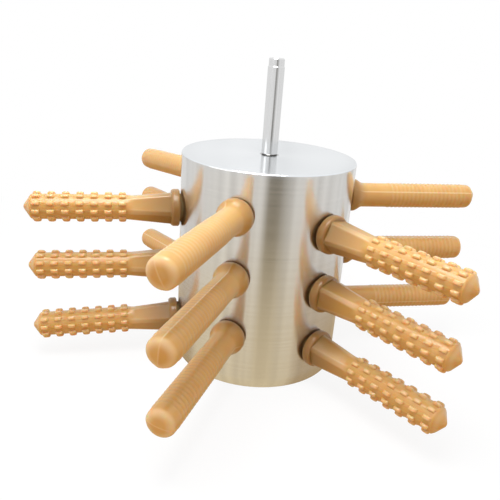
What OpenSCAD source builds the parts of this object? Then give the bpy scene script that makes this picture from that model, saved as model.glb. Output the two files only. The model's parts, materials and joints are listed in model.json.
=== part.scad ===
// Poultry plucker head for a hand drill: a stainless drum on a chuck shank,
// with soft rubber fingers pushed through its wall in six columns.
// The drum's axis is Z, and the drum stands on z = 0.

/* [Drum] */
// Outside diameter of the drum
drum_d = 108; // [100:1:130]
// Height of the drum over its top plate
drum_h = 134; // [128:1:170]
// Thickness of the rolled wall
wall_t = 1.5; // [1:0.1:2.5]
// Thickness of the top plate
plate_t = 3; // [2:0.5:5]
// Rounding of the top plate's upper edge
plate_edge_r = 1; // [0.4:0.1:1.6]
// Diameter of the finger holes
hole_d = 18; // [16:0.5:20]
// Height from one finger of a column to the next
row_pitch = 37.5; // [34:0.5:42]
// Drop from the drum's top to the upper ribbed fingers
ribbed_drop = 25; // [20:0.5:30]
// Drop from the drum's top to the upper studded fingers
studded_drop = 35; // [28:0.5:38]

/* [Shank] */
// Diameter of the shank, for a drill chuck
shank_d = 10; // [8:0.5:13]
// Length of the shank above the top plate
shank_l = 56.5; // [45:0.5:80]
// Length of the shank's slimmer lead-in end
lead_l = 4.5; // [3:0.5:8]
// Depth of the step at the lead-in end
lead_step = 0.35; // [0.2:0.05:0.8]
// Chamfer on the shank's ends
shank_chamfer = 0.6; // [0.3:0.1:1]
// Chamfer around the shank's foot, above the plate
foot_chamfer = 0.9; // [0.4:0.1:1.5]
// Width of the shoulder that seats on the top plate
shoulder_w = 1; // [0.8:0.1:1.5]

/* [Fastening inside the drum] */
// Radial room around the stud in the plate and the washers
stud_clear = 0.2; // [0.1:0.05:0.4]
// Radial room between the stud and the nut's bore
thread_clear = 0.05; // [0.03:0.01:0.1]
// Length of stud below the nut
stud_end = 3; // [1:0.5:6]
// Width of the flat washer's ring
washer_band = 7.8; // [5:0.2:10]
// Thickness of the flat washer
washer_t = 1.6; // [1:0.2:3]
// Width of the spring washer's ring
spring_band = 3; // [2:0.2:4]
// Thickness of the spring washer
spring_t = 2; // [1.5:0.1:3]
// Width of the slanted split in the spring washer
spring_split = 1.2; // [0.8:0.1:2]
// Wall of the nut between its bore and its flats
nut_wall = 2.5; // [2:0.1:3.5]
// Height of the nut
nut_h = 6.5; // [5:0.5:9]
// Chamfer on the nut's corners
nut_chamfer = 0.7; // [0.3:0.1:1]

/* [Finger roots] */
// Radial room between a finger's neck and its hole
neck_clear = 0.3; // [0.2:0.05:0.5]
// Overhang of the inner head past the hole
head_lip = 3; // [2:0.25:4]
// Thickness of the inner head
head_t = 6; // [4:0.5:8]
// Least room between the inner head and the wall
head_clear = 0.3; // [0.2:0.05:0.6]
// Rounding of the inner head and the flanges
root_round = 1.2; // [0.6:0.1:1.5]
// Room between a flange and the drum's wall
flange_lift = 0.8; // [0.7:0.1:2.4]

/* [Ribbed fingers] */
// Reach of a ribbed finger from the drum's wall to its tip
ribbed_reach = 90; // [75:0.5:110]
// Diameter of the smooth shaft
ribbed_shaft_d = 15.6; // [14:0.2:17]
// Overhang of the flange past the hole
ribbed_lip = 1.6; // [1.5:0.1:3]
// Thickness of the flange
ribbed_flange_t = 3.2; // [2.4:0.1:4]
// Length of the hollow curve from the flange to the shaft
ribbed_fillet_l = 7; // [4:0.5:9]
// Distance from the wall to the first rib
rib_start = 28; // [20:0.5:40]
// Distance from one rib to the next
rib_pitch = 2.9; // [2.4:0.1:4]
// Height of a rib above the shaft
rib_h = 0.25; // [0.15:0.05:0.6]
// Height of the domed tip
dome_h = 4.2; // [3:0.2:6]
// Fullness of the dome: 2 is an even dome, more is flatter with a tighter edge
dome_fullness = 2.6; // [2:0.1:4]

/* [Studded fingers] */
// Reach of a studded finger from the drum's wall to its tip
studded_reach = 92; // [78:0.5:110]
// Diameter of the shaft between the studs
studded_shaft_d = 15; // [13:0.2:16]
// Overhang of the flange past the hole
studded_lip = 2.5; // [1.8:0.1:3.5]
// Thickness of the flange
studded_flange_t = 5.6; // [4.8:0.1:6]
// Rounding of the flange's front edge
studded_edge_r = 2.2; // [1.8:0.1:2.4]
// Diameter of the flare where it leaves the flange
flare_d = 20.2; // [19:0.1:21]
// Distance from the wall to the slim end of the flare
flare_end = 32.5; // [26:0.5:40]
// Number of flat panels around the flare
panel_count = 5; // [4:1:6]
// Depth of a panel below the flare's ridges at the flange
panel_depth = 1.3; // [0.8:0.1:1.6]
// Depth of a panel at its slim end
panel_end_depth = 0.7; // [0.4:0.1:1]
// Depth that a panel bites into the flange's front
panel_bite = 0.4; // [0.2:0.1:0.8]
// Length of plain flare left at the slim end of a panel
panel_margin = 1.2; // [0.8:0.1:2]
// Number of studs around the shaft
studs_around = 10; // [8:2:12]
// Distance from one ring of studs to the next
stud_pitch = 8.2; // [7.5:0.1:10]
// Length of a stud along the finger at its foot
stud_l = 4.5; // [4:0.1:6]
// Width of a stud around the finger
stud_w = 2.5; // [2:0.1:3]
// Height of a stud above the shaft
stud_h = 1.6; // [1:0.1:2]
// Length that a stud loses from foot to top at each end
stud_draft = 0.5; // [0.2:0.1:1]
// Height of the conical tip
cone_h = 4.6; // [3:0.2:7]
// Rounding of the tip's blunt point
point_r = 1.6; // [1:0.1:2]
// Radius of the small flat on the tip
point_flat_r = 0.6; // [0.4:0.1:1]

/* [Hidden] */
$fn = 96;
rows = ["upper", "middle", "lower"];
ribbed_columns = [["front", -90], ["back_right", 30], ["back_left", 150]];
studded_columns = [["right", -30], ["back", 90], ["left", 210]];
row_list = [0:len(rows) - 1];
ribbed_list = [0:len(ribbed_columns) - 1];
studded_list = [0:len(studded_columns) - 1];

function ribbed_name(column, row) =
    str("ribbed_finger_", ribbed_columns[column][0], "_", rows[row]);
function studded_name(column, row) =
    str("studded_finger_", studded_columns[column][0], "_", rows[row]);

steel = [0.78, 0.78, 0.77];
bright_steel = [0.86, 0.87, 0.88];
zinc = [0.70, 0.72, 0.74];
rubber = [0.86, 0.67, 0.43];

// Cut pieces run this far past the faces that they open
overcut = 1;
// Short arcs in a profile have this many steps
arc_steps = 4;

// Drum
drum_r = drum_d / 2;
inner_r = drum_r - wall_t;
shell_h = drum_h - plate_t;

// Fastening, stacked down from the underside of the plate
stud_d = shank_d - 2 * shoulder_w;
stud_hole_d = stud_d + 2 * stud_clear;
washer_z = shell_h - washer_t;
spring_z = washer_z - spring_t;
nut_z = spring_z - nut_h;
stud_z = nut_z - stud_end;
spring_d = stud_hole_d + 2 * spring_band;
nut_flats = stud_d + 2 * thread_clear + 2 * nut_wall;
nut_corners = nut_flats / cos(30);

// Finger roots, as distances from the drum's axis
neck_r = hole_d / 2 - neck_clear;
head_r = hole_d / 2 + head_lip;
head_face = sqrt(pow(inner_r, 2) - pow(head_r, 2)) - head_clear;
head_back = head_face - head_t;
flange_back = drum_r + flange_lift;

// Ribbed fingers
ribbed_r = ribbed_shaft_d / 2;
ribbed_flange_r = hole_d / 2 + ribbed_lip;
ribbed_tip = drum_r + ribbed_reach;
dome_base = ribbed_tip - dome_h;
rib_count = floor((ribbed_reach - dome_h - rib_start) / rib_pitch);

// Studded fingers
studded_r = studded_shaft_d / 2;
studded_flange_r = hole_d / 2 + studded_lip;
studded_tip = drum_r + studded_reach;
cone_base = studded_tip - cone_h;
flare_start = flange_back + studded_flange_t;
flare_stop = drum_r + flare_end;
ring_start = flare_stop + stud_l / 2 + stud_draft;
ring_count = floor((cone_base - ring_start - stud_l / 2) / stud_pitch) + 1;
panel_fall = flare_d / 2 - panel_depth - (studded_r - panel_end_depth);
panel_tilt = atan(panel_fall / (flare_stop - flare_start));

// Each studded finger sits turned in its hole by this many degrees, as it was pushed in
studded_turns = [[63, 15, 31], [50, 5, 35], [12, 10, 26]];

function ribbed_z(row) = drum_h - ribbed_drop - row * row_pitch;
function studded_z(row) = drum_h - studded_drop - row * row_pitch;

// Two soft fingers hang a little low in their holes, by this many degrees
ribbed_sag = [[0, 0, 0], [0, 0, 0], [3.8, 0, 0]];
studded_sag = [[0, 0, 0], [0, 0, 0], [0, 0, 2.6]];

// Points of a quarter arc from angle a0 to a1 about a centre
function arc(centre, r, a0, a1, steps = arc_steps) =
    [for (i = [0:steps]) centre + r * [cos(a0 + (a1 - a0) * i / steps), sin(a0 + (a1 - a0) * i / steps)]];

// Outline of the inner head, the neck and the flange's back edge
function root_outline(flange_r, back_r) = concat(
    [[0, head_back]],
    arc([head_r - root_round, head_back + root_round], root_round, -90, 0),
    [[head_r, head_face], [neck_r, head_face], [neck_r, flange_back]],
    arc([flange_r - back_r, flange_back + back_r], back_r, -90, 0)
);

// Stands a shape that is drawn up Z at a finger's place, pointing out of the drum.
// It sags about the middle of the wall
module at_hole(angle, z, sag = 0) {
    pivot = drum_r - wall_t / 2;
    translate([0, 0, z])
        rotate([0, 0, angle])
            translate([pivot, 0, 0])
                rotate([0, 90 + sag, 0])
                    translate([0, 0, -pivot])
                        children();
}

module finger_hole(angle, z) {
    at_hole(angle, z)
        translate([0, 0, head_back])
            cylinder(d = hole_d, h = flange_back - head_back);
}

module drum_shell() {
    color(steel)
        difference() {
            cylinder(r = drum_r, h = shell_h);
            translate([0, 0, -overcut])
                cylinder(r = inner_r, h = shell_h + 2 * overcut);
            for (column = ribbed_columns, row = row_list)
                finger_hole(column[1], ribbed_z(row));
            for (column = studded_columns, row = row_list)
                finger_hole(column[1], studded_z(row));
        }
}

module top_plate() {
    color(bright_steel)
        translate([0, 0, shell_h])
            difference() {
                union() {
                    cylinder(r = drum_r, h = plate_t - plate_edge_r);
                    cylinder(r = drum_r - plate_edge_r, h = plate_t);
                    translate([0, 0, plate_t - plate_edge_r])
                        rotate_extrude()
                            translate([drum_r - plate_edge_r, 0])
                                circle(r = plate_edge_r);
                }
                translate([0, 0, -overcut])
                    cylinder(d = stud_hole_d, h = plate_t + 2 * overcut);
            }
}

// The shank's shoulder seats on the plate, and its slim stud goes through to the nut
module shank() {
    shank_r = shank_d / 2;
    stud_r = stud_d / 2;
    lead_r = shank_r - lead_step;
    lead_z = drum_h + shank_l - lead_l;
    top_z = drum_h + shank_l;
    color(bright_steel)
        rotate_extrude()
            polygon([
                [0, stud_z],
                [stud_r - shank_chamfer, stud_z],
                [stud_r, stud_z + shank_chamfer],
                [stud_r, drum_h],
                [shank_r - foot_chamfer / 2, drum_h],
                [shank_r, drum_h + foot_chamfer],
                [shank_r, lead_z - lead_step],
                [lead_r, lead_z],
                [lead_r, top_z - shank_chamfer],
                [lead_r - shank_chamfer, top_z],
                [0, top_z]
            ]);
}

module flat_washer() {
    color(zinc)
        translate([0, 0, washer_z])
            difference() {
                cylinder(d = stud_hole_d + 2 * washer_band, h = washer_t);
                translate([0, 0, -overcut])
                    cylinder(d = stud_hole_d, h = washer_t + 2 * overcut);
            }
}

module spring_washer() {
    split_lean = 30;
    color(zinc)
        translate([0, 0, spring_z])
            difference() {
                cylinder(d = spring_d, h = spring_t);
                translate([0, 0, -overcut])
                    cylinder(d = stud_hole_d, h = spring_t + 2 * overcut);
                translate([spring_d / 2, 0, spring_t / 2])
                    rotate([split_lean, 0, 0])
                        cube([spring_d - stud_d, spring_split, 4 * spring_t], center = true);
            }
}

module hex_nut() {
    corner_r = nut_corners / 2;
    color(zinc)
        translate([0, 0, nut_z])
            difference() {
                intersection() {
                    cylinder(r = corner_r, h = nut_h, $fn = 6);
                    rotate_extrude()
                        polygon([
                            [0, 0],
                            [corner_r - nut_chamfer, 0],
                            [corner_r, nut_chamfer],
                            [corner_r, nut_h - nut_chamfer],
                            [corner_r - nut_chamfer, nut_h],
                            [0, nut_h]
                        ]);
                }
                translate([0, 0, -overcut])
                    cylinder(d = stud_d + 2 * thread_clear, h = nut_h + 2 * overcut);
            }
}

// One rib in the shaft's outline, with sloping sides
function rib_outline(foot) = [
    [ribbed_r, foot],
    [ribbed_r + rib_h, foot + rib_pitch / 4],
    [ribbed_r + rib_h, foot + rib_pitch / 2],
    [ribbed_r, foot + rib_pitch * 3 / 4]
];

module ribbed_finger(column, row) {
    fillet_foot = flange_back + ribbed_flange_t;
    fillet_steps = 6;
    dome_steps = 12;
    outline = concat(
        root_outline(ribbed_flange_r, root_round),
        [for (i = [0:fillet_steps])
            [ribbed_r + (ribbed_flange_r - ribbed_r) * (1 + cos(180 * i / fillet_steps)) / 2,
             fillet_foot + ribbed_fillet_l * i / fillet_steps]],
        [for (i = [0:rib_count - 1]) each rib_outline(drum_r + rib_start + i * rib_pitch)],
        [for (i = [0:dome_steps])
            [ribbed_r * pow(cos(90 * i / dome_steps), 2 / dome_fullness),
             dome_base + dome_h * pow(sin(90 * i / dome_steps), 2 / dome_fullness)]]
    );
    color(rubber)
        at_hole(ribbed_columns[column][1], ribbed_z(row), ribbed_sag[column][row])
            rotate_extrude()
                polygon(outline);
}

// Everything on a studded finger that is round about its own axis
module studded_core() {
    tip_lean = atan((studded_r - point_r) / cone_h);
    point_z = studded_tip - point_r;
    bead = [studded_flange_r - studded_edge_r, flare_start - studded_edge_r];
    bead_end = acos((flare_d / 2 - bead[0]) / studded_edge_r);
    rotate_extrude()
        polygon(concat(
            root_outline(studded_flange_r, root_round),
            arc(bead, studded_edge_r, 0, bead_end),
            [[studded_r, flare_stop], [studded_r, cone_base]],
            arc([point_flat_r, point_z], point_r, tip_lean, 90),
            [[0, studded_tip]]
        ));
}

// Tool that cuts one flat panel along the flare
module panel_cutter() {
    panel_w = flare_d;
    panel_l = (flare_stop - flare_start) / cos(panel_tilt) + panel_bite - panel_margin;
    translate([flare_d / 2 - panel_depth, 0, flare_start])
        rotate([0, -panel_tilt, 0])
            translate([0, -panel_w / 2, -panel_bite])
                cube([flare_d, panel_w, panel_l]);
}

// Rings of studs, cut into rows by slabs through the finger's axis
module studs() {
    foot_r = studded_r - stud_h;
    top_r = studded_r + stud_h;
    foot_l = stud_l / 2 + stud_draft;
    top_l = stud_l / 2 - stud_draft;
    intersection() {
        rotate_extrude()
            for (i = [0:ring_count - 1])
                translate([0, ring_start + i * stud_pitch])
                    polygon([[foot_r, -foot_l], [top_r, -top_l], [top_r, top_l], [foot_r, foot_l]]);
        union() {
            for (i = [0:studs_around / 2 - 1])
                rotate([0, 0, 360 / studs_around * i])
                    translate([-drum_r, -stud_w / 2, drum_r])
                        cube([drum_d, stud_w, studded_reach]);
        }
    }
}

module studded_finger(column, row) {
    color(rubber)
        at_hole(studded_columns[column][1], studded_z(row), studded_sag[column][row])
            rotate([0, 0, studded_turns[column][row]])
                union() {
                    difference() {
                        studded_core();
                        for (i = [0:panel_count - 1])
                            rotate([0, 0, 360 / panel_count * (i + 0.5)])
                                panel_cutter();
                    }
                    studs();
                }
}

drum_shell();
top_plate();
shank();
flat_washer();
spring_washer();
hex_nut();
for (column = ribbed_list, row = row_list)
    ribbed_finger(column, row);
for (column = studded_list, row = row_list)
    studded_finger(column, row);
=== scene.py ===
import json
import math

import bpy
from mathutils import Matrix, Vector


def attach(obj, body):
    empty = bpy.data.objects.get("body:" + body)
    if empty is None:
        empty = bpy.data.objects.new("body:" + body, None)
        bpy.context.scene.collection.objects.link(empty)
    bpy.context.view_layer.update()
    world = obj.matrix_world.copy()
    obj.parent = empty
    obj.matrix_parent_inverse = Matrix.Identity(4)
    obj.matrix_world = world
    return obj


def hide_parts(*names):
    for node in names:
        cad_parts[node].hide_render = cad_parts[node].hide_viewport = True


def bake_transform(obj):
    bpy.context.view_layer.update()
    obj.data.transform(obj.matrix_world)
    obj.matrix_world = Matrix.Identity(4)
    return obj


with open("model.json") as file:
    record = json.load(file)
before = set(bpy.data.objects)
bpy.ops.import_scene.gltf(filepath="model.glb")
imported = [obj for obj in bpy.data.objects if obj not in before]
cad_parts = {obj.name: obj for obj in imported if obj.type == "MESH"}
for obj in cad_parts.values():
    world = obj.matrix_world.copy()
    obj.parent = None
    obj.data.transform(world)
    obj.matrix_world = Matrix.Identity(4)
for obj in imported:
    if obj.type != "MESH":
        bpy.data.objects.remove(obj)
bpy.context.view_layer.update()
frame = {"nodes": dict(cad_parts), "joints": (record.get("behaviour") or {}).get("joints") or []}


# Drum shell: a rolled and welded stainless tube, brushed around its girth and open below.
# Eighteen holes are punched through its wall, one for the neck of each rubber finger.
# The lower rim is deburred, and the upper rim carries the top plate.

drum_r = 54.0
wall_t = 1.5
shell_top = 131.0
rim_round = 0.35
hole_r = 9.0
hole_steps = 64
punch_l = 20.0
drum_steps = 192
drum_rows = 20
edge_angle = 32


def turned(name, outline, steps, smooth_angle=edge_angle):
    """Extrudes a point along (radius, height) pairs in mm, and turns that outline round Z."""
    bpy.ops.object.select_all(action="DESELECT")
    bpy.ops.mesh.primitive_plane_add(size=0.001)
    piece = bpy.context.object
    piece.name = piece.data.name = name
    bpy.ops.object.mode_set(mode="EDIT")
    bpy.ops.mesh.merge(type="CENTER")
    points = [(r * 0.001, 0.0, z * 0.001) for r, z in outline]
    bpy.ops.transform.translate(value=points[0])
    for a, b in zip(points, points[1:]):
        step = [q - p for p, q in zip(a, b)]
        bpy.ops.mesh.extrude_region_move(TRANSFORM_OT_translate={"value": step})
    bpy.ops.mesh.select_all(action="SELECT")
    bpy.ops.mesh.spin(steps=steps, angle=math.tau, center=(0, 0, 0), axis=(0, 0, 1))
    bpy.ops.mesh.select_all(action="SELECT")
    bpy.ops.mesh.remove_doubles(threshold=1e-6)
    bpy.ops.mesh.normals_make_consistent(inside=False)
    bpy.ops.object.mode_set(mode="OBJECT")
    bpy.ops.object.shade_smooth_by_angle(angle=math.radians(smooth_angle))
    return piece


def arc(centre_r, centre_z, radius, first, last, steps):
    """Points of a rounded edge in an outline, from one angle to another in degrees."""
    angles = [math.radians(first + (last - first) * i / steps) for i in range(steps + 1)]
    return [(centre_r + radius * math.cos(a), centre_z + radius * math.sin(a)) for a in angles]


class Wire:
    """One shader socket. Sums, products and powers of wires add Math nodes."""

    def __init__(self, socket):
        self.socket = socket

    def node(self, kind, sockets, output=0, stops=None, **settings):
        """Adds a node of any type, sets it up, fills or links its sockets and gives its output."""
        tree = self.socket.id_data
        made = tree.nodes.new(kind)
        for name, value in settings.items():
            setattr(made, name, value)
        if stops:
            elements = made.color_ramp.elements
            for place, colour in stops[1:-1]:
                elements.new(place).color = (*colour, 1)
            for element, (place, colour) in ((elements[0], stops[0]), (elements[-1], stops[-1])):
                element.position, element.color = place, (*colour, 1)
        for key, value in sockets.items():
            if isinstance(value, Wire):
                tree.links.new(value.socket, made.inputs[key])
            else:
                made.inputs[key].default_value = value
        return Wire(made.outputs[output])

    def maths(self, operation, first, second=0.0, clamp=False):
        return self.node(
            "ShaderNodeMath", {0: first, 1: second}, operation=operation, use_clamp=clamp
        )

    def __add__(self, other):
        return self.maths("ADD", self, other)

    def __sub__(self, other):
        return self.maths("SUBTRACT", self, other)

    def __rsub__(self, other):
        return self.maths("SUBTRACT", other, self)

    def __mul__(self, other):
        return self.maths("MULTIPLY", self, other)

    def __truediv__(self, other):
        return self.maths("DIVIDE", self, other)

    __radd__ = __add__
    __rmul__ = __mul__

    def band(self, low, high):
        """Rises smoothly from 0 at low to 1 at high, or falls where low is above high."""
        if low < high:
            values = {0: self, 1: low, 2: high, 3: 0.0, 4: 1.0}
        else:
            values = {0: self, 1: high, 2: low, 3: 1.0, 4: 0.0}
        return self.node("ShaderNodeMapRange", values, interpolation_type="SMOOTHSTEP")

    def mix(self, first, second):
        """Blends two colours by this wire."""
        return self.node(
            "ShaderNodeMix", {0: self, 6: first, 7: second}, output=2, data_type="RGBA"
        )

    def into(self, shader, name):
        shader.id_data.links.new(self.socket, shader.inputs[name])


def new_finish(name, **values):
    """Makes a material with constant values, and gives its shader and Object coordinates."""
    material = bpy.data.materials.new(name)
    material.use_nodes = True
    shader = material.node_tree.nodes["Principled BSDF"]
    for socket, value in values.items():
        shader.inputs[socket.replace("_", " ")].default_value = value
    place = Wire(material.node_tree.nodes.new("ShaderNodeTexCoord").outputs["Object"])
    return material, shader, place


def streaks(place, scale, detail=3.0):
    """Noise, stretched into lines by a different scale on each axis, in cycles per metre."""
    stretched = place.node("ShaderNodeMapping", {"Vector": place, "Scale": scale})
    return place.node("ShaderNodeTexNoise", {"Vector": stretched, "Scale": 1.0, "Detail": detail})


brushed_steel, shader, place = new_finish(
    "brushed_steel", Metallic=1.0, Anisotropic=0.86, Anisotropic_Rotation=0.25
)
brush_lines = streaks(place, (14, 14, 2600))
brush_bands = streaks(place, (7, 7, 1000), detail=2.0)
handling = streaks(place, (30, 30, 22), detail=4.0)
tone = brush_lines * 0.5 + brush_bands * 0.5
tone.mix((0.63, 0.62, 0.595, 1), (0.75, 0.74, 0.725, 1)).into(shader, "Base Color")
(0.13 + brush_lines * 0.07 + brush_bands * 0.03 + handling * 0.05).into(shader, "Roughness")
place.node(
    "ShaderNodeBump", {"Height": brush_lines, "Strength": 0.10, "Distance": 0.0001}
).into(shader, "Normal")

wall_rows = [shell_top * i / drum_rows for i in range(1, drum_rows)]
drum = turned(
    "brushed_drum",
    [(drum_r - wall_t, shell_top)]
    + [(drum_r - wall_t, z) for z in reversed(wall_rows)]
    + arc(drum_r - wall_t + rim_round, rim_round, rim_round, 180, 270, 3)
    + arc(drum_r - rim_round, rim_round, rim_round, 270, 360, 3)
    + [(drum_r, z) for z in wall_rows]
    + [(drum_r, shell_top), (drum_r - wall_t, shell_top)],
    drum_steps,
)

punches = []
for joint in frame["joints"]:
    x, y, z = joint["pos_m"]
    bpy.ops.object.select_all(action="DESELECT")
    bpy.ops.mesh.primitive_cylinder_add(
        vertices=hole_steps,
        radius=hole_r * 0.001,
        depth=punch_l * 0.001,
        location=(0, 0, drum_r * 0.001),
    )
    punch = bpy.context.object
    bpy.ops.object.transform_apply(location=True)
    punch.rotation_euler = (0, math.pi / 2, math.atan2(y, x))
    punch.location = (0, 0, z)
    bpy.ops.object.transform_apply(location=True, rotation=True)
    punches.append(punch)
bpy.ops.object.select_all(action="DESELECT")
for punch in punches:
    punch.select_set(True)
bpy.context.view_layer.objects.active = punches[0]
bpy.ops.object.join()
punch = bpy.context.object
cut = drum.modifiers.new("holes", "BOOLEAN")
cut.object = punch
cut.operation = "DIFFERENCE"
cut.solver = "EXACT"
bpy.ops.object.select_all(action="DESELECT")
bpy.context.view_layer.objects.active = drum
drum.select_set(True)
bpy.ops.object.modifier_apply(modifier="holes")
bpy.data.objects.remove(punch)
bpy.ops.object.shade_smooth_by_angle(angle=math.radians(edge_angle))
drum.data.materials.clear()
drum.data.materials.append(brushed_steel)
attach(drum, "drum")
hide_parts("drum_shell")


# Top plate: a flat stainless disc, turned on a lathe so that its face has fine rings.
# It closes the drum's upper rim, and the shank stands in the hole at its centre.
# Its upper edge is rounded, and its side is brushed together with the drum's wall.

plate_top = 134.0
plate_edge = 1.0
plate_bore_r = 4.2

turned_steel, shader, place = new_finish(
    "turned_steel", Metallic=1.0, Anisotropic=0.75, Anisotropic_Rotation=0.25
)
flat_place = place.node("ShaderNodeVectorMath", {0: place, 1: (1, 1, 0)}, operation="MULTIPLY")
from_centre = place.node("ShaderNodeVectorMath", {0: flat_place}, output=1, operation="LENGTH")
ring_place = place.node("ShaderNodeCombineXYZ", {0: from_centre * 2200, 1: 0.0, 2: 0.0})
ring_drift = place.node(
    "ShaderNodeVectorMath", {0: flat_place, 1: (12, 12, 12)}, operation="MULTIPLY"
)
ring_place = place.node("ShaderNodeVectorMath", {0: ring_place, 1: ring_drift}, operation="ADD")
rings = place.node("ShaderNodeTexNoise", {"Vector": ring_place, "Scale": 1.0, "Detail": 3.0})
handling = streaks(place, (26, 26, 26), detail=4.0)
# Painted shade: a dark ring on the plate round the shank's foot stands in for the shadow in the
# joint.
painted_foot_shade = from_centre.band(0.0064, 0.0052)
face = rings.mix((0.81, 0.84, 0.865, 1), (0.87, 0.895, 0.915, 1))
(painted_foot_shade * 0.75).mix(face, (0.20, 0.19, 0.175, 1)).into(shader, "Base Color")
(0.11 + rings * 0.08 + handling * 0.06).into(shader, "Roughness")
place.node("ShaderNodeBump", {"Height": rings, "Strength": 0.08, "Distance": 0.0001}).into(
    shader, "Normal"
)

plate = turned(
    "turned_plate",
    [(plate_bore_r, shell_top), (drum_r, shell_top)]
    + arc(drum_r - plate_edge, plate_top - plate_edge, plate_edge, 0, 90, 6)
    + [(r, plate_top) for r in (46, 38, 30, 22, 14, 8)]
    + [(plate_bore_r, plate_top), (plate_bore_r, shell_top)],
    drum_steps,
)
plate.data.materials.clear()
plate.data.materials.append(turned_steel)
plate.data.materials.append(brushed_steel)
for face in plate.data.polygons:
    if abs(face.normal.z) < 0.3 and face.center.xy.length > 0.05:
        face.material_index = 1
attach(plate, "drum")
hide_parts("top_plate")


# Shank: a ground and polished steel rod that a drill chuck grips.
# A slimmer lead-in at its end finds the chuck, and its chamfered foot seats on the plate.
# Below the plate it goes on as a thinner stud for the washers and the nut.

shank_r = 5.0
shank_top = 190.5
lead_z = 186.0
lead_step = 0.35
shank_chamfer = 0.6
shank_steps = 96
foot_chamfer = 0.9
stud_r = 4.0
stud_bottom = 117.9

polished_steel, shader, place = new_finish(
    "polished_steel", Metallic=1.0, Anisotropic=0.4, Anisotropic_Rotation=0.25
)
grind_lines = streaks(place, (30, 30, 4200), detail=2.0)
wear = streaks(place, (90, 90, 30), detail=4.0)
up = place.node("ShaderNodeSeparateXYZ", {0: place}, output=2)
# Painted shade: the shank is darkened up to 1 mm above the plate, standing in for the shadow in
# the joint.
painted_foot_shade = up.band((plate_top + 1.0) * 0.001, (plate_top + 0.4) * 0.001)
rod = wear.mix((0.71, 0.71, 0.71, 1), (0.81, 0.81, 0.81, 1))
(painted_foot_shade * 0.85).mix(rod, (0.15, 0.145, 0.135, 1)).into(shader, "Base Color")
(0.07 + grind_lines * 0.06 + wear * 0.08).into(shader, "Roughness")
place.node(
    "ShaderNodeBump", {"Height": grind_lines, "Strength": 0.05, "Distance": 0.0001}
).into(shader, "Normal")

thread_pitch = 1.25
thread_depth = 0.35
thread_turns = int((plate_top - stud_bottom - 4) / thread_pitch)
thread = []
for i in range(thread_turns):
    foot = stud_bottom + shank_chamfer + i * thread_pitch
    thread += [(stud_r, foot), (stud_r - thread_depth, foot + thread_pitch / 2)]
shank = turned(
    "polished_shank",
    [(0, stud_bottom), (stud_r - shank_chamfer, stud_bottom)]
    + thread
    + [(stud_r, stud_bottom + shank_chamfer + thread_turns * thread_pitch)]
    + [(stud_r, plate_top), (shank_r - foot_chamfer * 0.5, plate_top)]
    + [(shank_r, plate_top + foot_chamfer), (shank_r, plate_top + foot_chamfer + 0.2)]
    + [(shank_r, lead_z - lead_step - 0.2), (shank_r, lead_z - lead_step)]
    + [(shank_r - lead_step, lead_z), (shank_r - lead_step, lead_z + 0.2)]
    + [(shank_r - lead_step, shank_top - shank_chamfer - 0.2)]
    + [(shank_r - lead_step, shank_top - shank_chamfer)]
    + [(shank_r - lead_step - shank_chamfer, shank_top), (0, shank_top)],
    shank_steps,
    smooth_angle=24,
)
shank.data.materials.clear()
shank.data.materials.append(polished_steel)
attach(shank, "drum")
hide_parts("shank")


# Washer, spring washer and nut: zinc-plated steel fasteners under the top plate.
# They clamp the plate against the shank's shoulder, out of sight inside the drum.
# Their CAD solids have the right shape, so they only get their plated finish here.

zinc, shader, place = new_finish("zinc_plating", Metallic=1.0)
cloud = streaks(place, (240, 240, 240), detail=5.0)
spangle = place.node("ShaderNodeTexVoronoi", {"Vector": place, "Scale": 900.0}, output=1)
cloud.mix((0.52, 0.54, 0.57, 1), (0.76, 0.77, 0.78, 1)).into(shader, "Base Color")
(0.30 + cloud * 0.22).into(shader, "Roughness")
place.node("ShaderNodeBump", {"Height": spangle, "Strength": 0.06, "Distance": 0.0001}).into(
    shader, "Normal"
)
for name in ("flat_washer", "spring_washer", "hex_nut"):
    fastener = frame["nodes"][name]
    fastener.data.materials.clear()
    fastener.data.materials.append(zinc)


# Ribbed fingers: soft natural rubber, moulded in two halves, in three columns of three.
# Each is pulled through its hole, so that the wall sits in the neck between head and flange.
# The shaft is plain near the drum, has shallow rings further out, and ends in a low dome.

head_back = 44.81
head_face = 50.81
head_r = 12.0
neck_r = 8.7
flange_back = 54.8
root_round = 1.2
ribbed_flange_r = 10.6
ribbed_flange_t = 3.2
ribbed_fillet = 7.0
fillet_steps = 8
ribbed_r = 7.8
rib_first = 82.0
rib_pitch = 2.9
rib_h = 0.25
rib_count = 19
rib_steps = 6
ribbed_tip = 144.0
dome_h = 4.2
dome_fullness = 2.6
dome_steps = 12
ribbed_steps = 96
flash_h = 0.16
crease_h = 0.45
crease_w = 2.6
root_dark = 56.5
gap_w = 0.5
seam_half = 0.6
seam_start = 58.0
seam_full = 64.0
cream = (0.76, 0.57, 0.32, 1)


def root_outline(flange_r, back_r):
    """Outline of the head inside the drum, the neck in the wall and the back of the flange."""
    return (
        [(0, head_back), (head_r * 0.5, head_back)]
        + arc(head_r - root_round, head_back + root_round, root_round, -90, 0, 5)
        + [(head_r, head_face - 0.3), (head_r - 0.3, head_face)]
        + [(neck_r, head_face), (neck_r, flange_back)]
        + arc(flange_r - back_r, flange_back + back_r, back_r, -90, 0, 5)
    )


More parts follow.
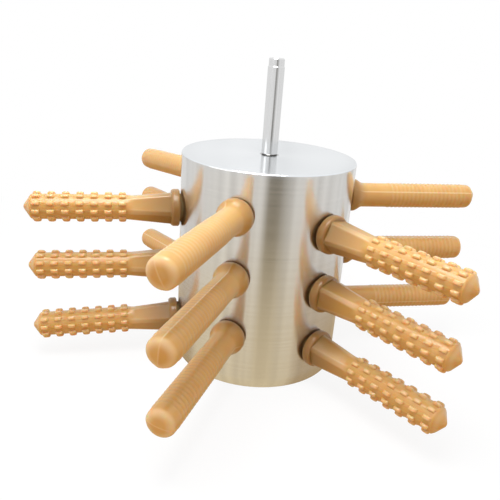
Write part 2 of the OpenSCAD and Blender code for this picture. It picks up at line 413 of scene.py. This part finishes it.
def rubber(name, tip, root_reach, root_shade, proud_share, seam_share):
    """Gum rubber: amber, painted creamier where it stands proud as a highlight, with a painted
    pale rim on the tip and a painted highlight along the parting line, and painted shade towards
    the root and in the gap at the wall.
    """
    material, shader, place = new_finish(
        name,
        Subsurface_Weight=1.0,
        Subsurface_Radius=(1.0, 0.45, 0.20),
        Subsurface_Scale=0.004,
        Specular_IOR_Level=0.30,
        Sheen_Weight=0.06,
        Sheen_Roughness=0.45,
        Sheen_Tint=(1.0, 0.96, 0.90, 1.0),
        Coat_Roughness=0.20,
        IOR=1.5,
    )
    own = place.node("ShaderNodeAttribute", {}, output=1, attribute_name="finger_place")
    flat = own.node("ShaderNodeVectorMath", {0: own, 1: (1, 1, 0)}, operation="MULTIPLY")
    radius = own.node("ShaderNodeVectorMath", {0: flat}, output=1, operation="LENGTH")
    along = own.node("ShaderNodeSeparateXYZ", {0: own}, output=2)
    from_seam = own.maths("ABSOLUTE", own.node("ShaderNodeSeparateXYZ", {0: own}, output=1))
    proud = place.node("ShaderNodeAttribute", {}, output=2, attribute_name="finger_proud")
    end = along.band((tip - 4.5) * 0.001, (tip - 1.5) * 0.001)
    rim = radius.band(0.0030, 0.0066)
    root = along.band(root_reach * 0.001, root_dark * 0.001)
    gap = along.band((flange_back + gap_w) * 0.001, flange_back * 0.001)
    seam = from_seam.band(seam_half * 0.001, 0.0001)
    seam = seam * along.band(seam_start * 0.001, seam_full * 0.001)
    mottle = streaks(place, (70, 70, 70), detail=4.0)
    grain = streaks(place, (1300, 1300, 1300), detail=2.0)
    body = mottle.mix((0.605, 0.338, 0.085, 1), (0.68, 0.415, 0.138, 1))
    # Painted highlight: stud tops, panel ridges and rib crests are painted creamier where they
    # stand proud.
    body = (proud * proud_share).mix(body, cream)
    # Painted light: the end gets a paler rim and a more orange centre, standing in for light on
    # its rounded edge and glow through it.
    body = (end * 0.75).mix(body, rim.mix((0.66, 0.37, 0.100, 1), (0.77, 0.59, 0.34, 1)))
    # Painted highlight: a cream line along the parting line, at half strength on the end, stands
    # in for light on the raised flash.
    body = (seam * (1 - end * 0.5) * seam_share).mix(body, cream)
    # Painted shade: the root darkens towards the wall, standing in for the shade the drum casts on
    # it.
    body = (root * root_shade).mix(body, (0.28, 0.150, 0.034, 1))
    # Painted shade: the flange's back edge at the wall is darkened, standing in for the shadow in
    # the gap.
    body = (gap * 0.6).mix(body, (0.17, 0.105, 0.05, 1))
    body.into(shader, "Base Color")
    (0.40 + mottle * 0.12 + grain * 0.05 - proud * 0.08 + gap * 0.25).into(shader, "Roughness")
    ((0.75 + proud * 0.20) * (1 - gap)).into(shader, "Coat Weight")
    own.node("ShaderNodeBump", {"Height": grain, "Strength": 0.08, "Distance": 0.0002}).into(
        shader, "Normal"
    )
    return material


def keep_own_place(master, proud):
    """Stores each point's place in the finger's own frame, and how far it stands proud of it."""
    stored = master.data.attributes.new("finger_place", "FLOAT_VECTOR", "POINT")
    values = [0.0] * (3 * len(master.data.vertices))
    master.data.vertices.foreach_get("co", values)
    stored.data.foreach_set("vector", values)
    stored = master.data.attributes.new("finger_proud", "FLOAT", "POINT")
    stored.data.foreach_set("value", proud)


def set_in_wall(master, node, turn, sag=0.0):
    """Copies a finger, turns it about its own axis and sets it in its hole with its sag."""
    joint = next(j for j in frame["joints"] if j["child"] == node)
    x, y, z = joint["pos_m"]
    angle = math.atan2(y, x)
    finger = master.copy()
    finger.data = master.data.copy()
    finger.name = finger.data.name = "moulded_" + node
    bpy.context.collection.objects.link(finger)
    middle_of_wall = (drum_r - wall_t / 2) * 0.001
    finger.matrix_world = (
        Matrix.Translation((0, 0, z))
        @ Matrix.Rotation(angle, 4, "Z")
        @ Matrix.Translation((middle_of_wall, 0, 0))
        @ Matrix.Rotation(math.radians(90 + sag), 4, "Y")
        @ Matrix.Translation((0, 0, -middle_of_wall))
        @ Matrix.Rotation(math.radians(turn), 4, "Z")
    )
    bpy.ops.object.select_all(action="DESELECT")
    finger.select_set(True)
    bpy.context.view_layer.objects.active = finger
    bpy.ops.object.transform_apply(location=True, rotation=True, scale=True)
    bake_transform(finger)
    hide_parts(node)


fillet_foot = flange_back + ribbed_flange_t
fillet = []
for i in range(fillet_steps + 1):
    ease = (1 + math.cos(math.pi * i / fillet_steps)) / 2
    radius = ribbed_r + (ribbed_flange_r - ribbed_r) * ease
    fillet.append((radius, fillet_foot + ribbed_fillet * i / fillet_steps))
plain = [(ribbed_r, z) for z in (68, 71, 74, 77, 80)]
ribs = []
for i in range(rib_count * rib_steps):
    swell = math.sin(math.pi * i / rib_steps) ** 2
    ribs.append((ribbed_r + rib_h * swell, rib_first + rib_pitch * i / rib_steps))
dome_base = ribbed_tip - dome_h
dome = []
for i in range(dome_steps + 1):
    a = math.radians(90 * i / dome_steps)
    across = max(0.0, math.cos(a)) ** (2 / dome_fullness)
    dome.append((ribbed_r * across, dome_base + dome_h * math.sin(a) ** (2 / dome_fullness)))
ribbed_master = turned(
    "ribbed_master",
    root_outline(ribbed_flange_r, root_round) + fillet + plain + ribs + dome,
    ribbed_steps,
)
bpy.ops.object.mode_set(mode="EDIT")
bpy.ops.mesh.select_all(action="DESELECT")
bpy.ops.object.mode_set(mode="OBJECT")
for point in ribbed_master.data.vertices:
    point.select = abs(point.co.y) < 1e-5 and flange_back + 1 < point.co.z * 1000 < dome_base
    if point.co.z * 1000 > dome_base:
        point.co.z -= crease_h * 0.001 * min(1.0, abs(point.co.y) * 1000 / crease_w)
bpy.ops.object.mode_set(mode="EDIT")
bpy.ops.transform.shrink_fatten(value=flash_h * 0.001)
bpy.ops.object.mode_set(mode="OBJECT")
rib_share = []
for point in ribbed_master.data.vertices:
    x, y, z = point.co * 1000
    rise = (math.hypot(x, y) - ribbed_r) / rib_h if z > rib_first else 0.0
    rib_share.append(min(1.0, max(0.0, rise)))
keep_own_place(ribbed_master, rib_share)
ribbed_master.data.materials.clear()
ribbed_master.data.materials.append(
    rubber("ribbed_gum_rubber", ribbed_tip, 67, 0.65, 0.12, 0.9)
)
ribbed_turns = {
    "front": (25, -4, 80),
    "back_right": (60, 15, 100),
    "back_left": (0, 40, 130),
}
ribbed_sag = {"ribbed_finger_back_left_upper": 3.8}
for column, turns in ribbed_turns.items():
    for row, turn in zip(("upper", "middle", "lower"), turns):
        node = f"ribbed_finger_{column}_{row}"
        set_in_wall(ribbed_master, node, turn, ribbed_sag.get(node, 0.0))
bpy.data.objects.remove(ribbed_master)


# Studded fingers: the same gum rubber, stiffer at the root, in the columns between.
# Five flat panels with ridges between them run down the flare from the flange to the shaft.
# Seven rings of ten long studs stand on the shaft, which ends in a blunt point.

studded_flange_r = 11.5
studded_edge_r = 2.2
bead_z = 58.2
flare_start = 60.4
flare_r = 10.1
flare_stop = 86.5
flare_steps = 20
studded_r = 7.5
panels = 5
panel_depth = 1.3
panel_end_depth = 0.7
panel_bite = 0.4
panel_fade = 3.5
ridge_w = 0.35
ring_first = 89.25
ring_pitch = 8.2
ring_count = 7
stud_l = 4.5
stud_h = 1.6
stud_half = 9.0
studs_around = 10
cone_base = 141.4
point_r = 1.6
point_flat = 0.6
studded_tip = 146.0
studded_steps = 160


def flare_radius(z):
    return flare_r + (studded_r - flare_r) * (z - flare_start) / (flare_stop - flare_start)


bite_z = flare_start - panel_bite
bite_angle = math.degrees(math.asin((bite_z - bead_z) / studded_edge_r))
bead = arc(studded_flange_r - studded_edge_r, bead_z, studded_edge_r, 0, bite_angle, 7)
bead.append((bead[-1][0] - 0.01, bite_z + 0.02))
flare_l = flare_stop - flare_start
flare_rows = [flare_start + flare_l * i / flare_steps for i in range(flare_steps + 1)]
shaft = []
for i in range(ring_count):
    middle = ring_first + i * ring_pitch
    for share in (-1, -0.9, -0.72, -0.36, 0.36, 0.72, 0.9, 1):
        shaft.append((studded_r, middle + share * stud_l / 2))
lean = math.degrees(math.atan((studded_r - point_r) / (studded_tip - cone_base)))
studded_master = turned(
    "studded_master",
    root_outline(studded_flange_r, root_round)
    + bead
    + [(flare_radius(z), z) for z in flare_rows]
    + shaft
    + [(studded_r, cone_base - 0.5), (studded_r - 0.15, cone_base + 0.05)]
    + [(studded_r - 0.45, cone_base + 0.45), (studded_r - 0.85, cone_base + 0.80)]
    + arc(point_flat, studded_tip - point_r, point_r, lean, 90, 5)
    + [(0, studded_tip)],
    studded_steps,
)
panel_pitch = math.tau / panels
panel_near = flare_r - panel_depth
panel_far = studded_r - panel_end_depth
stud_pitch = math.tau / studs_around
stud_share = []
for point in studded_master.data.vertices:
    x, y, z = point.co * 1000
    reach = math.hypot(x, y)
    share = 0.0
    if bite_z + 0.01 < z < flare_stop:
        across = math.atan2(y, x) % panel_pitch - panel_pitch / 2
        panel_r = panel_near + (panel_far - panel_near) * (z - flare_start) / flare_l
        deep = min(1.0, (flare_stop - z) / panel_fade)
        flat = min(reach, panel_r / math.cos(across))
        point.co.xy *= 1 + (flat / reach - 1) * deep
        share = deep * max(0.0, 1 - (reach - flat) / ridge_w)
    ring = (z - ring_first + ring_pitch / 2) % ring_pitch - ring_pitch / 2
    across = (math.atan2(y, x) + stud_pitch / 2) % stud_pitch - stud_pitch / 2
    edge = (2 * abs(ring) / stud_l) ** 4 + abs(math.degrees(across) / stud_half) ** 4
    if ring_first - stud_l < z < cone_base - 0.6 and edge < 1:
        share = (1 - edge) ** 0.4
        point.co.xy *= 1 + stud_h * share / reach
    stud_share.append(share)
bpy.ops.object.shade_smooth_by_angle(angle=math.radians(60))
keep_own_place(studded_master, stud_share)
studded_master.data.materials.clear()
studded_master.data.materials.append(
    rubber("studded_gum_rubber", studded_tip, 92, 0.95, 0.60, 0.0)
)
studded_turns = {"right": (63, 15, 31), "back": (50, 5, 35), "left": (12, 10, 26)}
studded_sag = {"studded_finger_left_lower": 2.6}
for column, turns in studded_turns.items():
    for row, turn in zip(("upper", "middle", "lower"), turns):
        node = f"studded_finger_{column}_{row}"
        set_in_wall(studded_master, node, turn, studded_sag.get(node, 0.0))
bpy.data.objects.remove(studded_master)


# Floor and studio: a pale floor under the drum, a soft light overhead and a white surround.
# The floor keeps the shadow, looks white to the camera and throws warm light back.
# Steel mirrors the white with soft streaks, one dark panel in front and a warm table below.

white = (1, 1, 1, 1)
warm_bounce = (0.61, 0.42, 0.22, 1)
floor_pale = (0.90, 0.90, 0.90, 1)
floor_r = 6.0
panel_dark = (0.12, 0.11, 0.09, 1)
table_light = (0.94, 0.77, 0.49, 1)
table_dark = (0.59, 0.42, 0.22, 1)
streak_count = 38

floor_white = bpy.data.materials.new("pale_floor")
floor_white.use_nodes = True
tree = floor_white.node_tree
shader = tree.nodes["Principled BSDF"]
shader.inputs["Roughness"].default_value = 0.9
rays = Wire(tree.nodes.new("ShaderNodeLightPath").outputs["Is Camera Ray"])
rays.mix(warm_bounce, floor_pale).into(shader, "Base Color")
place = Wire(tree.nodes.new("ShaderNodeTexCoord").outputs["Object"])
away = place.node("ShaderNodeVectorMath", {0: place}, output=1, operation="LENGTH")
glow = rays.node("ShaderNodeEmission", {"Color": white, "Strength": 1.0})
share = rays * (0.86 + away.band(0.12, 0.42) * 0.14)
share.node("ShaderNodeMixShader", {0: share, 1: Wire(shader.outputs[0]), 2: glow}).into(
    tree.nodes["Material Output"], "Surface"
)
bpy.ops.object.select_all(action="DESELECT")
bpy.ops.mesh.primitive_circle_add(vertices=96, radius=floor_r, fill_type="NGON")
floor = bpy.context.object
floor.name = "pale_floor"
floor.data.materials.append(floor_white)
floor.visible_glossy = False

# around runs from 0 to 1 about the drum, from behind over the left, with the front at 0.5.
camera_turn = math.radians(16.243)
world = bpy.data.worlds.new("studio")
bpy.context.scene.world = world
world.use_nodes = True
tree = world.node_tree
background = tree.nodes["Background"]
way = Wire(tree.nodes.new("ShaderNodeTexCoord").outputs["Generated"])
x, y, z = (way.node("ShaderNodeSeparateXYZ", {0: way}, output=i) for i in range(3))
side = x * math.cos(camera_turn) + y * math.sin(camera_turn)
front = x * math.sin(camera_turn) - y * math.cos(camera_turn)
around = way.maths("ARCTAN2", side, front) / math.tau + 0.5
dark_panel = around.band(0.485, 0.515) * around.band(0.62, 0.535) * z.band(0.55, 0.30)
dark_panel = dark_panel * (0.65 + z.band(-0.14, -0.20) * 0.35)
surround = dark_panel.mix(white, panel_dark)
table_edge = around.band(0.25, 0.20) + around.band(0.62, 0.72)
table = table_edge.mix(table_light, table_dark)
surround = z.band(-0.36, -0.44).mix(surround, table)
soft_streaks = way.node(
    "ShaderNodeTexNoise",
    {"W": around * streak_count, "Scale": 1.0, "Detail": 2.0},
    noise_dimensions="1D",
)
dimming = way.node("ShaderNodeMapRange", {0: soft_streaks, 1: 0.3, 2: 0.7, 3: 0.78, 4: 1.0})
surround = way.node("ShaderNodeVectorMath", {0: surround, "Scale": dimming}, operation="SCALE")
surround = z.band(0.30, 0.55).mix(surround, white)
ambient = z.band(0.05, 0.55).mix((0.60, 0.485, 0.345, 1), (0.85, 0.86, 0.885, 1))
rays = tree.nodes.new("ShaderNodeLightPath").outputs
camera_ray, glossy_ray = Wire(rays["Is Camera Ray"]), Wire(rays["Is Glossy Ray"])
clear_ray = Wire(rays["Is Transmission Ray"])
seen = glossy_ray.mix(ambient, surround)
seen = way.maths("ADD", camera_ray, clear_ray, clamp=True).mix(seen, white)
seen.into(background, "Color")

lamps = {
    "overhead_softbox": ((-0.03, -0.12, 0.52), 0.26, 1.75),
    "left_fill": ((-0.55, -0.55, 0.45), 0.5, 0.6),
}
aim_point = Vector((0, 0, 0.07))
for name, (spot, size, power) in lamps.items():
    lamp = bpy.data.lights.new(name, "AREA")
    lamp.size = size
    lamp.energy = power
    holder = bpy.data.objects.new(name, lamp)
    holder.location = spot
    aim = aim_point - holder.location
    holder.rotation_euler = aim.to_track_quat("-Z", "Y").to_euler()
    bpy.context.collection.objects.link(holder)


# Camera: stands in front of the drum, a little to the right and above, and looks down at it.

lens = bpy.data.cameras.new("camera")
lens.sensor_width = 36.0
lens.lens = 38.985
camera = bpy.data.objects.new("camera", lens)
camera.location = (0.093659, -0.321475, 0.200370)
camera.rotation_euler = (math.radians(68.5926), math.radians(-3.9263), math.radians(19.0761))
bpy.context.collection.objects.link(camera)
bpy.context.scene.camera = camera
bpy.context.scene.view_settings.view_transform = "Standard"
